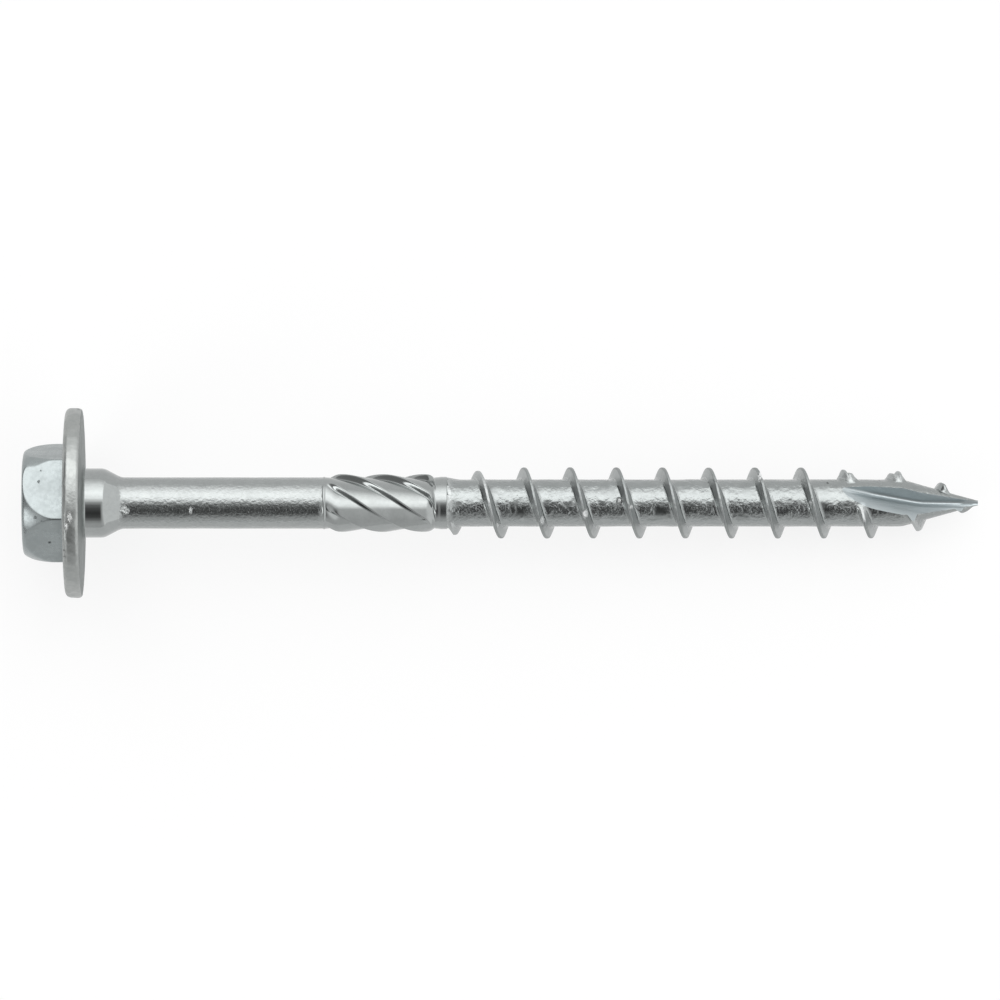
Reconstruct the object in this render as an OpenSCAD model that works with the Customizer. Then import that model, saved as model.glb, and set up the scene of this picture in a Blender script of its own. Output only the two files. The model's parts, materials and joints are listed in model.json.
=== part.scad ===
// Construction screw in one forged and rolled piece: hexagon head on a washer flange, collar,
// plain shank, shank cutter, coarse wood thread and a notched self-drilling point.
// The screw is drawn upright, with the bearing face of its flange at height 0 and its point at
// the top, and then laid down as it comes to rest: on the rim of the flange and on one crest.

/* [Head] */
// Width of the hexagon across its flats
hex_af = 11.9; // [10:0.1:13]
// Height of the hexagon above the flange
hex_h = 4.7; // [3:0.1:7]
// Diameter of the flat on the end of the hexagon
hex_flat_d = 11.5; // [8:0.1:11.8]
// Depth to which the corners of the hexagon are rounded off
hex_round_h = 4.2; // [1:0.1:4.6]
// Turn of the hexagon about the axis, against the start of the thread
hex_turn = 15.4; // [0:0.1:60]
// Diameter of the washer flange
flange_d = 21.2; // [17:0.1:26]
// Thickness of the washer flange
flange_t = 1.8; // [1.2:0.05:3]
// Radius of the flange rim on the side of the hexagon
rim_top_r = 0.6; // [0.2:0.05:0.9]
// Radius of the flange rim on the bearing side
rim_low_r = 0.2; // [0.05:0.05:0.3]

/* [Shank] */
// Length from the bearing face to the point
screw_l = 100; // [90:1:160]
// Diameter of the collar under the flange
collar_d = 7.75; // [7:0.05:9]
// Length of the collar, up to where it turns in
collar_l = 2.1; // [1:0.1:6]
// Slope of the cone from the collar down to the shank
collar_slope = 28; // [15:1:40]
// Radius of the rounding at each end of that cone
collar_round_r = 1.65; // [0.3:0.05:1.7]
// Radius of the fillet where the collar meets the bearing face
collar_fillet_r = 0.2; // [0.1:0.05:0.4]
// Diameter of the plain shank
shank_d = 5.75; // [5.5:0.05:6.3]

/* [Shank cutter] */
// Plain length between the ribs of the shank cutter and the thread
cutter_gap = 1.45; // [0.8:0.05:4]
// Length of the ribs
cutter_l = 12.3; // [6:0.1:16]
// Number of ribs
rib_count = 6; // [4:1:8]
// Height of a rib above the shank
rib_h = 0.35; // [0.2:0.05:0.6]
// Width of a rib at the surface of the shank
rib_w = 1.2; // [0.7:0.05:1.5]
// Length in which a rib makes one turn about the shank
rib_lead = 27; // [18:0.5:60]
// Turn of the first rib about the axis, where the ribs begin
rib_turn = 8; // [0:1:60]

/* [Thread] */
// Diameter over the crests of the thread
thread_d = 7.95; // [7.4:0.05:9]
// Diameter of the core between the turns
core_d = 5.28; // [4.6:0.05:5.3]
// Length of one turn
pitch = 5.15; // [4.2:0.05:6.5]
// Width of the ridge at the core
ridge_w = 1.55; // [1:0.05:2.2]
// Width of the blunt crest
crest_w = 0.26; // [0.1:0.02:0.4]
// Length from the first rise of the thread to the point
thread_l = 59.05; // [45:0.05:65]

/* [Point] */
// Length of the cone that ends the core
cone_l = 8.5; // [6:0.5:14]
// Diameter of the blunt point
tip_d = 0.5; // [0.3:0.05:1]
// Length over which the crests bend in towards the point
crest_fall_l = 12.6; // [9:0.1:18]
// Length of the cutting notch, back from the point
notch_l = 15.5; // [13:0.5:20]
// Length of the shallow run-out at the back of the notch
notch_runout_l = 3.45; // [2:0.05:5]
// Height of the floor of the notch above the axis, where its run-out begins
notch_floor_h = 1.17; // [0.8:0.01:1.6]
// Distance of the floor of the notch to one side of the axis, where its run-out begins
notch_side = 1; // [0.5:0.05:1.4]
// Angle between the broad wall of the notch and the level through its floor
notch_broad_angle = 41; // [30:1:50]
// Angle between the narrow wall of the notch and the level through its floor
notch_narrow_angle = 25; // [15:1:35]

/* [Hidden] */

// Facets round a curve, and columns of the thread round the axis
round_fn = 96;
columns = 48;
// Depth to which one form is buried in the next
bury = 0.15;
// More than the thread and the flange measure across
beyond = 24;
// Length by which the notch runs on past the point
past_point = 0.7;
steel = [0.72, 0.74, 0.75];

thread_z = screw_l - thread_l;
cutter_z = thread_z - cutter_gap - cutter_l;
flange_r = flange_d / 2;
collar_r = collar_d / 2;
shank_r = shank_d / 2;
thread_r = thread_d / 2;
core_r = core_d / 2;
tip_r = tip_d / 2;
head_h = flange_t + hex_h;

// The rolled ring behind the ribs, the swelling before the thread and the cone down to the core
ring_h = 0.05;
ring_l = 0.6;
swell_h = 0.06;
swell_z = thread_z - 0.25;
swell_l = 1.1;
core_z = thread_z + 1.35;
// The cone goes on inside the core until it is buried
core_end_z = core_z + bury * (core_z - swell_z) / (shank_r + swell_h - core_r);

// The thread starts here, as an angle about the axis
thread_turn = 225;
cone_z = screw_l - cone_l;
crest_fall_z = screw_l - crest_fall_l;
// Share of the full height that the ridge has reached, by turns from its start
run_in = [[0, 0], [0.12, 0.68], [0.65, 0.72], [1.15, 1]];
// Cross-section of the ridge: place along the axis, from its middle, and share of its height
ridge = [[-ridge_w / 2, 0], [-crest_w / 2, 1], [crest_w / 2, 1], [ridge_w / 2, 0], [pitch / 2, 0]];

// Radius of the core at height z
function core_at(z) =
    z < cone_z ? core_r : max(tip_r, core_r - (z - cone_z) / cone_l * (core_r - tip_r));

// Radius of the crests at height z: they bend in along a parabola that meets the point
function crest_at(z) =
    z < crest_fall_z
        ? thread_r
        : max(core_at(z), thread_r - pow((z - crest_fall_z) / crest_fall_l, 2) * (thread_r - tip_r));

// Height of the crest after a number of turns
function crest_z(turns) = thread_z + pitch * turns;

// A point at radius r, angle a and height z
function at(r, a, z) = [r * cos(a), r * sin(a), z];

// Where the screw lies down: each turn's lowest crest, and the tilt at which the first one lands
first_low = (360 - thread_turn) / 360;
last_turn = floor((screw_l - thread_z) / pitch) - 1;
low_crests = [for (n = [2 : last_turn]) crest_z(n + first_low)];

// Tilt at which the crest at height z touches the surface that the flange rim stands on
function landing(z) =
    let (
        drop = flange_r - rim_low_r - crest_at(z),
        reach = z + rim_low_r
    )
    atan2(drop, reach) + asin(rim_low_r / norm([drop, reach]));

tilt = min([for (z = low_crests) landing(z)]);
axis_h = (flange_r - rim_low_r) * cos(tilt) - rim_low_r * sin(tilt) + rim_low_r;
head_end_x = -head_h * cos(tilt) - hex_flat_d / 2 * sin(tilt);
tip_end_x = screw_l * cos(tilt);

module screw() {
    color(steel)
    translate([-(head_end_x + tip_end_x) / 2, 0, axis_h])
    rotate([0, 90 + tilt, 0])
    union() {
        hexagon();
        turned_body();
        cutter_ribs();
        threaded_end();
    }
}

// The hexagon, with its end rounded off as forging leaves it
module hexagon() {
    corner_r = hex_af / 2 / cos(30);
    // The rounding is one arc: level with the corner at its foot and through the rim of the flat
    fall = corner_r - hex_flat_d / 2;
    arc_r = (hex_round_h * hex_round_h + fall * fall) / (2 * fall);
    foot_z = -head_h + hex_round_h;
    intersection() {
        translate([0, 0, -head_h])
        rotate([0, 0, hex_turn])
        cylinder(r = corner_r, h = head_h - bury, $fn = 6);
        rotate_extrude($fn = round_fn)
        intersection() {
            translate([0, -head_h])
            square([corner_r + 1, head_h]);
            union() {
                translate([corner_r - arc_r, foot_z])
                circle(r = arc_r, $fn = round_fn * 2);
                translate([0, foot_z])
                square([corner_r + 1, head_h]);
            }
        }
    }
}

// Flange, collar, cone, shank, ring and swelling, turned about the axis
module turned_body() {
    flange();
    rotate_extrude($fn = round_fn)
    shank_outline();
}

module flange() {
    rotate_extrude($fn = round_fn) {
        translate([0, -flange_t])
        square([flange_r - rim_top_r, flange_t - rim_low_r]);
        translate([0, -flange_t + rim_top_r])
        square([flange_r, flange_t - rim_top_r - rim_low_r]);
        translate([0, -rim_low_r - bury])
        square([flange_r - rim_low_r, rim_low_r + bury]);
        translate([flange_r - rim_top_r, rim_top_r - flange_t])
        circle(r = rim_top_r, $fn = round_fn);
        translate([flange_r - rim_low_r, -rim_low_r])
        circle(r = rim_low_r, $fn = round_fn);
    }
}

module shank_outline() {
    fall = collar_r - shank_r;
    // The two roundings leave at least some of the straight cone between them
    round_r = min(collar_round_r, 0.45 * fall / (1 - cos(collar_slope)));
    bend = round_r * (1 - cos(collar_slope));
    run = round_r * sin(collar_slope);
    cone_foot = collar_l + 2 * run + (fall - 2 * bend) / tan(collar_slope);
    polygon([
        [0, -bury],
        [collar_r + collar_fillet_r, -bury],
        for (a = [0 : 15 : 90])
            [
                collar_r + collar_fillet_r * (1 - sin(a)),
                collar_fillet_r * (1 - cos(a))
            ],
        [collar_r, collar_l],
        for (a = [collar_slope / 4 : collar_slope / 4 : collar_slope])
            [collar_r - round_r * (1 - cos(a)), collar_l + round_r * sin(a)],
        for (a = [collar_slope : -collar_slope / 4 : collar_slope / 8])
            [shank_r + round_r * (1 - cos(a)), cone_foot - round_r * sin(a)],
        [shank_r, cone_foot],
        [shank_r, cutter_z - ring_l],
        [shank_r + ring_h, cutter_z - ring_l / 2],
        [shank_r, cutter_z],
        [shank_r, swell_z - swell_l],
        [shank_r + swell_h, swell_z - ring_l],
        [shank_r + swell_h, swell_z],
        [core_r - bury, core_end_z],
        [0, core_end_z]
    ]);
}

// Faces of a closed skin over a stack of rings, each with the same number of points
function ring_faces(rings, count) = concat(
    [[for (j = [0 : count - 1]) j]],
    [
        for (i = [0 : rings - 2], j = [0 : count - 1])
        let (
            a = i * count + j,
            b = i * count + (j + 1) % count
        )
        each [[a, a + count, b + count], [a, b + count, b]]
    ],
    [[for (j = [count - 1 : -1 : 0]) (rings - 1) * count + j]]
);

// The ribs of the shank cutter, on a sleeve that is buried in the shank
module cutter_ribs() {
    half = rib_w / 2 / shank_r * 180 / PI;
    // Cross-section of a rib: angle from its middle, and share of its height
    rib = [[-1, 0], [-0.75, 0.7], [-0.4, 1], [0.4, 1], [0.75, 0.7], [1, 0]];
    steps = 16;
    foot_r = shank_r - bury;
    points = [
        for (i = [0 : steps])
        let (
            z = cutter_z + cutter_l * i / steps,
            // The ribs rise and fall over a short length at each end
            rise = min(1, min(i, steps - i) / 1.2)
        )
        for (n = [0 : rib_count - 1], p = rib)
        at(
            foot_r + (rib_h + bury) * p[1] * rise,
            rib_turn + 360 * (n / rib_count + (z - cutter_z) / rib_lead) + half * p[0],
            z
        )
    ];
    polyhedron(points, ring_faces(steps + 1, rib_count * len(rib)), convexity = 6);
}

// The core with its thread, less the notch and squared off at the point
module threaded_end() {
    difference() {
        threaded_core();
        cutting_notch();
        translate([-beyond / 2, -beyond / 2, screw_l])
        cube(beyond);
    }
}

// One skin that follows the helix: each column runs along the axis, and its last row joins the
// first row of the next turn
module threaded_core() {
    marks = len(ridge);
    turns = ceil((thread_l + ridge_w / 2) / pitch) + 1;
    rows = marks * turns;
    column = rows + 1;
    points = [
        for (j = [0 : columns - 1], i = [0 : rows])
        let (
            mark = ridge[i % marks],
            turn = floor(i / marks) - 1 + j / columns,
            z = crest_z(turn) + mark[0],
            core = core_at(z),
            full = crest_at(z) - core
        )
        at(core + full * mark[1] * lookup(turn, run_in), thread_turn + 360 * j / columns, z)
    ];
    // The two ends of the skin are closed by fans about a point on the axis
    start = columns * column;
    finish = start + 1;
    centres = [for (turn = [-1, turns - 1]) [0, 0, crest_z(turn + 0.5) - ridge_w / 2]];
    last = (columns - 1) * column;
    side = [
        for (j = [0 : columns - 1], i = [0 : rows - 1])
        let (
            wraps = j == columns - 1,
            a = j * column + i,
            b = wraps ? i + marks : a + column
        )
        if (!wraps || i + marks < rows)
        each [[a, b + 1, b], [a, a + 1, b + 1]]
    ];
    start_fan = [
        for (j = [0 : columns - 1])
        [start, j * column, j < columns - 1 ? (j + 1) * column : marks],
        for (i = [0 : marks - 1])
        [start, i + 1, i]
    ];
    finish_fan = [
        for (j = [0 : columns - 2])
        [finish, (j + 1) * column + rows, j * column + rows],
        for (i = [rows - marks : rows - 1])
        [finish, last + i, last + i + 1],
        [finish, rows, last + rows - marks]
    ];
    polyhedron(concat(points, centres), concat(side, start_fan, finish_fan), convexity = 8);
}

// The V-shaped cut that makes the drilling edge, swept along its floor. It is open towards -X
module cutting_notch() {
    // Direction in which the floor runs out at the back, from the open side
    out_turn = 40;
    back_z = screw_l - notch_l;
    // Share of the notch that lies in front of the bend in its floor
    bend_at = 0.42;
    floor_line = [
        at(-thread_r - bury, -out_turn, back_z - notch_runout_l / 2),
        at(-core_r, -out_turn, back_z),
        [-notch_floor_h, notch_side, back_z + notch_runout_l],
        [-notch_floor_h / 2, 0, screw_l - notch_l * bend_at],
        [0, -bury, screw_l + past_point]
    ];
    broad = [-sin(notch_broad_angle), -cos(notch_broad_angle), 0] * beyond;
    narrow = [-sin(notch_narrow_angle), cos(notch_narrow_angle), 0] * beyond;
    points = [
        for (p = floor_line)
        each [p, p + narrow, p + narrow + broad, p + broad]
    ];
    polyhedron(points, ring_faces(len(floor_line), 4), convexity = 4);
}

screw();
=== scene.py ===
"""Looks of a zinc-plated construction screw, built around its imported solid.

The screw is one forged and rolled piece. Its skin is worked out here a second time, finer than in
the solid: edges that forging and plating round off, ribs that bend at their ends, a thread with
folded crests and nicks, and a notch. Lengths are in millimetres in the screw's own frame, with the
bearing face of the flange at height 0 and the point at +Z, until they are put into a mesh.
"""

import json
import logging
import math
from collections.abc import Callable, Iterable
from dataclasses import dataclass
from enum import Enum

import bpy
import numpy as np
from mathutils import Matrix, Vector


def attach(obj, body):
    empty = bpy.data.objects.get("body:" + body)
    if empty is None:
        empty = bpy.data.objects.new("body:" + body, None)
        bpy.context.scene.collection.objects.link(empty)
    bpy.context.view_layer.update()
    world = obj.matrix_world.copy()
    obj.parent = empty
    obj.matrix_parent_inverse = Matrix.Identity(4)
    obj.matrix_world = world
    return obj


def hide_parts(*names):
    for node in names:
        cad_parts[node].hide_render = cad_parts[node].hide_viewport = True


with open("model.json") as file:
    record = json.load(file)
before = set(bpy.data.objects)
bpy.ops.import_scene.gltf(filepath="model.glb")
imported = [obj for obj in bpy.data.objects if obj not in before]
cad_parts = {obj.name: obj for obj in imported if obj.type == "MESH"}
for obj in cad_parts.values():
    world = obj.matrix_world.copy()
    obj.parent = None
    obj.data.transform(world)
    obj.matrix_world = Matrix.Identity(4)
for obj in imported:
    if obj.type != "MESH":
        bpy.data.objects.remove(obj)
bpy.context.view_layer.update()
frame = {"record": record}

log = logging.getLogger("screw")

NODE = "screw"
BODY = "root"
MM = 0.001
TINY = 1e-6
SEED = 7

Pair = tuple[float, float]
Triple = tuple[float, float, float]
Rings = tuple[np.ndarray, np.ndarray, np.ndarray]


def blend_in(value: np.ndarray, low: float, high: float) -> np.ndarray:
    """Smooth step: 0 up to low, 1 from high, and a cubic ease between them.

    Args:
        value: Where to take the step.
        low: Value at which it starts.
        high: Value at which it ends.

    Returns:
        The height of the step at each value.
    """
    t = np.clip((value - low) / (high - low), 0, 1)
    return t * t * (3 - 2 * t)


def softer_min(a: np.ndarray, b: np.ndarray, width: float) -> np.ndarray:
    """The smaller of two surfaces, with the edge where they cross rounded off.

    Args:
        a: One surface.
        b: The other surface.
        width: Difference of the two below which they are blended.

    Returns:
        Their minimum, less up to a quarter of the width where they cross.
    """
    h = np.clip(0.5 + 0.5 * (b - a) / width, 0, 1)
    return b + (a - b) * h - width * h * (1 - h)


def waves(seed: int, count: int, lengths: Pair, *axes: np.ndarray) -> np.ndarray:
    """Uneven hand-made look: a sum of sine waves of random direction, length and start.

    Args:
        seed: Start of the random numbers.
        count: Number of waves.
        lengths: Shortest and longest wave, in the unit of the axes.
        axes: Coordinates of the surface, whose shapes fit together.

    Returns:
        Heights from about -1 to 1.
    """
    rng = np.random.default_rng(seed)
    total = np.zeros(np.broadcast(*axes).shape)
    for _ in range(count):
        direction = rng.normal(size=len(axes))
        direction /= np.linalg.norm(direction)
        phase = rng.uniform(0, 2 * math.pi)
        length = rng.uniform(*lengths)
        along = sum(part * axis for part, axis in zip(direction, axes))
        total += np.sin(2 * math.pi * along / length + phase)
    return total / math.sqrt(count)


def steps(start: float, end: float, count: int) -> np.ndarray:
    """Even steps from start to end, without the start itself."""
    return np.linspace(start, end, count + 1)[1:]


def about_axis(radius: np.ndarray, degrees: np.ndarray, z: np.ndarray) -> Rings:
    """X, Y and Z of points that are given by radius, angle and height."""
    angle = np.radians(degrees)
    return radius * np.cos(angle), radius * np.sin(angle), z


@dataclass(frozen=True)
class Lie:
    """How the screw lies: its own frame, taken from the mount on its bearing face."""

    origin: Vector  # Centre of the bearing face, in metres
    turn: Matrix  # Matrix whose columns are the screw's own X, Y and Z, seen from the part's frame

    @classmethod
    def from_record(cls, record: dict) -> "Lie":
        """Reads the bearing face's centre and axis.

        Args:
            record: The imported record.

        Returns:
            How the screw lies.
        """
        mount = next(m for m in record["mounts"] if m["name"] == "bearing_face")
        along = Vector(mount["axis"]).normalized()
        across = Vector((0, 1, 0))
        side = across.cross(along)
        turn = Matrix((side, across, along)).transposed()
        return cls(Vector(mount["pos_m"]), turn)

    def place(self, points: np.ndarray) -> np.ndarray:
        """Takes points from the screw's frame, in millimetres, to the part's, in metres."""
        return points.reshape(-1, 3) @ np.array(self.turn).T * MM + np.array(self.origin)

    def point(self, x: float, y: float, z: float) -> Vector:
        """Takes one point from the screw's frame, in millimetres, to the part's, in metres."""
        return self.origin + self.turn @ Vector((x, y, z)) * MM


def mesh_object(name: str, points: np.ndarray, faces: list[np.ndarray]) -> bpy.types.Object:
    """Makes a mesh of three- and four-sided faces and links it to the scene.

    Args:
        name: Name of the object.
        points: Corners, in metres, one row each.
        faces: Arrays of corner numbers, each with one row per face.

    Returns:
        The object, at the origin.
    """
    sizes = np.concatenate([np.full(len(f), f.shape[1]) for f in faces])
    starts = np.concatenate([[0], np.cumsum(sizes)[:-1]])
    corners = np.concatenate([f.ravel() for f in faces])
    mesh = bpy.data.meshes.new(name)
    mesh.vertices.add(len(points))
    mesh.vertices.foreach_set("co", points.astype(np.float32).ravel())
    mesh.loops.add(len(corners))
    mesh.loops.foreach_set("vertex_index", corners.astype(np.int32))
    mesh.polygons.add(len(sizes))
    mesh.polygons.foreach_set("loop_start", starts.astype(np.int32))
    mesh.update(calc_edges=True)
    mesh.validate()
    piece = bpy.data.objects.new(name, mesh)
    bpy.context.scene.collection.objects.link(piece)
    return piece


def ring_faces(rows: int, columns: int) -> list[np.ndarray]:
    """Faces of a closed skin over a stack of rings, with a pole at each end.

    The corners are numbered ring by ring, then the first pole and the last. A quad joins each pair
    of neighbours in a ring to the pair above them, and a fan closes each end.

    Args:
        rows: Number of rings.
        columns: Number of corners in a ring.

    Returns:
        The quads and the two fans.
    """
    column = np.arange(columns)
    after = (column + 1) % columns
    row = np.arange(rows - 1)[:, None] * columns
    quads = np.stack([row + column, row + after, row + columns + after, row + columns + column], -1)
    first = np.full(columns, rows * columns)
    last = (rows - 1) * columns
    return [
        quads.reshape(-1, 4),
        np.stack([first, after, column], -1),
        np.stack([last + column, last + after, first + 1], -1),
    ]


def closed_skin(name: str, lie: Lie, rings: np.ndarray, poles: np.ndarray | list) -> bpy.types.Object:
    """Makes a closed mesh from a stack of rings and the two poles that end it.

    Args:
        name: Name of the object.
        lie: Where the screw lies.
        rings: Corners in the screw's frame, by ring and column.
        poles: First and last pole.

    Returns:
        The object, at the origin.
    """
    points = np.concatenate([rings.reshape(-1, 3), poles])
    return mesh_object(name, lie.place(points), ring_faces(*rings.shape[:2]))


def smooth_with_sharp_edges(piece: bpy.types.Object, degrees: float) -> None:
    """Shades a piece smooth, apart from edges that turn by more than the given angle."""
    piece.data.shade_smooth()
    piece.data.set_sharp_from_angle(angle=math.radians(degrees))


class Zone(Enum):
    """Parts of the skin that were made in different ways and so have a finish of their own. The bearing
    face's finish also carries painted shade.
    """

    FORGED_HEAD = 0
    RIM = 1
    BEARING = 2
    COLLAR = 3
    SHANK = 4
    CUTTER = 5


@dataclass
class HeadAndShank:
    """Hexagon, flange, collar, shank and shank cutter, as one closed skin over rings."""

    lie: Lie  # Where the screw lies
    hex_af: float = 11.9  # Width across the flats
    hex_h: float = 4.7  # Height of the hexagon
    hex_flat_r: float = 5.75  # Radius of the flat end
    hex_round_h: float = 4.2  # Depth to which the corners are rounded off
    hex_turn: float = 15.4  # Turn of the hexagon's corners, in degrees
    hex_edge_r: float = 0.3  # Radius of its six long edges
    end_edge: float = 0.34  # Width of the bend between the flat end and the rounding
    crossing_w: float = 0.06  # Width of the blend where the rounding meets the flats
    full_h: float = 0.42  # Amount by which one corner of the end is fuller than the others
    full_turn: float = 143.0  # Angle of that corner, in degrees
    # Angle over which that fades, depth at which it is most, and depth of its fading
    full_spread: Triple = (21.0, 0.35, 0.9)
    fullness: float = 0.012  # Height of the forged waves in the faces
    hollow_h: float = 0.07  # Depth of the hollow in the end
    foot_r: float = 0.22  # Radius of the fillet at the foot of the hexagon
    flange_r: float = 10.6  # Radius of the flange
    flange_t: float = 1.8  # Thickness of the flange
    rim_top_r: float = 0.6  # Radius of the rim on the side of the hexagon
    rim_low_r: float = 0.2  # Depth of the rim's rounding on the bearing side
    rim_low_l: float = 0.5  # Length of that rounding along the axis
    bearing_rise: float = 0.16  # Height by which the bearing side rises towards the collar
    collar_r: float = 3.875  # Radius of the collar
    collar_l: float = 2.1  # Length of the collar
    collar_slope: float = 28.0  # Slope of the cone under the collar, in degrees
    collar_round_r: float = 1.65  # Radius of the roundings of that cone
    collar_fillet_r: float = 0.38  # Radius of the fillet at the bearing face
    cone_l: float = 1.9  # Length below the collar that is as smooth as the collar
    shank_r: float = 2.875  # Radius of the shank
    cutter_z: float = 27.2  # Height at which the ribs begin
    cutter_l: float = 12.3  # Length of the ribs
    rib_count: int = 6  # Number of ribs
    rib_h: float = 0.35  # Height of a rib
    rib_steep: float = 11.0  # Width of a rib's steep side, in degrees
    valley_h: float = 0.3  # Depth of the foot of that side below the shank
    rib_lead: float = 27.0  # Length in which a rib makes one turn
    rib_turn: float = 5.0  # Turn of the first rib where the ribs begin, in degrees
    rib_bend: float = 38.0  # Turn by which the ribs bend round at their far end, in degrees
    rib_bend_l: float = 1.3  # Length in which they do
    rib_rise_l: float = 1.5  # Length in which the ribs rise to their height
    rib_sink_l: float = 0.45  # Length in which they run into the circumference
    ring_h: float = 0.06  # Height of the rolled ring behind the ribs
    ring_l: float = 0.34  # Length of that ring
    swell_h: float = 0.06  # Height of the swelling before the thread
    swell_l: float = 1.1  # Length over which it rises
    swell_z: float = 40.7  # Height at which it ends
    # Radius, and height past there, of the rings that end inside the core
    inner_rings: tuple = ((2.928, 0.02), (2.9, 0.05), (2.84, 0.06), (2.6, 0.3), (1.3, 0.5))
    columns: int = 336  # Corners in each ring
    gather: float = 0.8  # Share by which the columns gather at the hexagon's corners
    unevenness: float = 0.006  # Height of the uneven waves in the surface
    rim_unevenness: float = 0.06  # Height of the lumps in the rim of the flange

    def angles(self, gather: np.ndarray) -> np.ndarray:
        """Angles of the columns, which gather at the six corners of the hexagon.

        In each sixth of a turn the angle is a mix of an even spread v and of 4 v cubed, both from
        -1/2 to 1/2 about the corner, so the spacing there falls to 1 - gather of the even one.

        Args:
            gather: Share of the cubic spread, one value per ring.

        Returns:
            Angles in degrees, one row per ring.
        """
        place = np.arange(self.columns) / self.columns * 6
        sixth = np.floor(place)
        v = place - sixth - 0.5
        share = gather[:, None]
        return self.hex_turn + 60 * (sixth + (1 - share) * v + share * 4 * v**3)

    def hexagon_radius(self, angle: np.ndarray) -> np.ndarray:
        """Radius of the hexagon's outline: its flats, and an arc about each inner corner.

        Args:
            angle: Angles about the axis, in degrees.

        Returns:
            The radius at each angle.
        """
        apothem = self.hex_af / 2
        off_corner = np.abs((angle - self.hex_turn + 30) % 60 - 30)
        delta = np.radians(off_corner)
        flat = apothem / np.cos(math.radians(30) - delta)
        centre = (apothem - self.hex_edge_r) / math.cos(math.radians(30))
        inside = np.maximum(self.hex_edge_r**2 - (centre * np.sin(delta)) ** 2, 0)
        arc = centre * np.cos(delta) + np.sqrt(inside)
        arc_end = math.atan((apothem - self.hex_edge_r) / apothem * math.tan(math.radians(30)))
        return np.where(delta < math.radians(30) - arc_end, arc, flat)

    def head_rings(self) -> Rings:
        """Rings from the middle of the flat end to the rim of the flange.

        The end is a disc, rounded over into one arc of revolution that cuts the corners of the
        hexagon off. Below it the hexagon runs straight down to a quarter-round fillet. Forging
        leaves the end a little hollow and its faces a little full.

        Returns:
            Radius and height, one row per ring and one column per angle, and the angles.
        """
        top = -self.flange_t - self.hex_h
        corner_r = self.hex_af / 2 / math.cos(math.radians(30))
        fall = corner_r - self.hex_flat_r
        arc_r = (self.hex_round_h**2 + fall**2) / (2 * fall)
        foot = top + self.hex_round_h
        side_z = np.concatenate([
            np.linspace(top + self.end_edge, foot, 46),
            np.linspace(foot + 0.1, -self.flange_t - self.foot_r, 6),
        ])
        drop = np.maximum(foot - side_z, 0)
        side_r = corner_r - arc_r + np.sqrt(arc_r**2 - drop**2)
        bend = np.linspace(0, 1, 9)[1:-1]
        flat_r = self.hex_flat_r - self.end_edge
        bend_r = (1 - bend) ** 2 * flat_r + 2 * bend * (1 - bend) * self.hex_flat_r + bend**2 * side_r[0]
        disc = np.linspace(0.04, 1, 14)
        turned_r = np.concatenate([disc * flat_r, bend_r, side_r])[:, None]
        z = np.concatenate([np.full(len(disc), top), top + bend**2 * self.end_edge, side_z])[:, None]
        angle = self.angles(np.full(len(z), self.gather))
        off_full = (angle - self.full_turn + 180) % 360 - 180
        full_w, full_depth, full_fade = self.full_spread
        fuller = self.full_h * np.exp(-((off_full / full_w) ** 2))
        fuller = fuller * np.exp(-(((z - top - full_depth) / full_fade) ** 2))
        rounded = turned_r + fuller * blend_in(turned_r / flat_r, 0.8, 1.0)
        radius = softer_min(rounded, self.hexagon_radius(angle), self.crossing_w)
        radius = radius + self.fullness * waves(SEED, 5, (3, 7), radius, z)
        hollow = self.hollow_h * blend_in(1 - turned_r / flat_r, 0.1, 0.75)
        height = z + np.where(z < top + TINY, hollow, 0) + 0 * radius

        quarter = np.radians(steps(0, 90, 7))[:, None]
        fillet_r = self.hexagon_radius(angle[-1]) + self.foot_r * (1 - np.cos(quarter))
        fillet_z = -self.flange_t - self.foot_r * (1 - np.sin(quarter)) + 0 * fillet_r
        share = steps(0, 1, 9)[:, None]
        plate_angle = self.angles(self.gather * (1 - share[:, 0]))
        plate_seat = self.hexagon_radius(plate_angle) + self.foot_r
        plate_r = plate_seat * (1 - share) + (self.flange_r - self.rim_top_r) * share
        return (
            np.concatenate([radius, fillet_r, plate_r]),
            np.concatenate([height, fillet_z, -self.flange_t + 0 * plate_r]),
            np.concatenate([angle, np.repeat(angle[-1:], len(quarter), 0), plate_angle]),
        )

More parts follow.
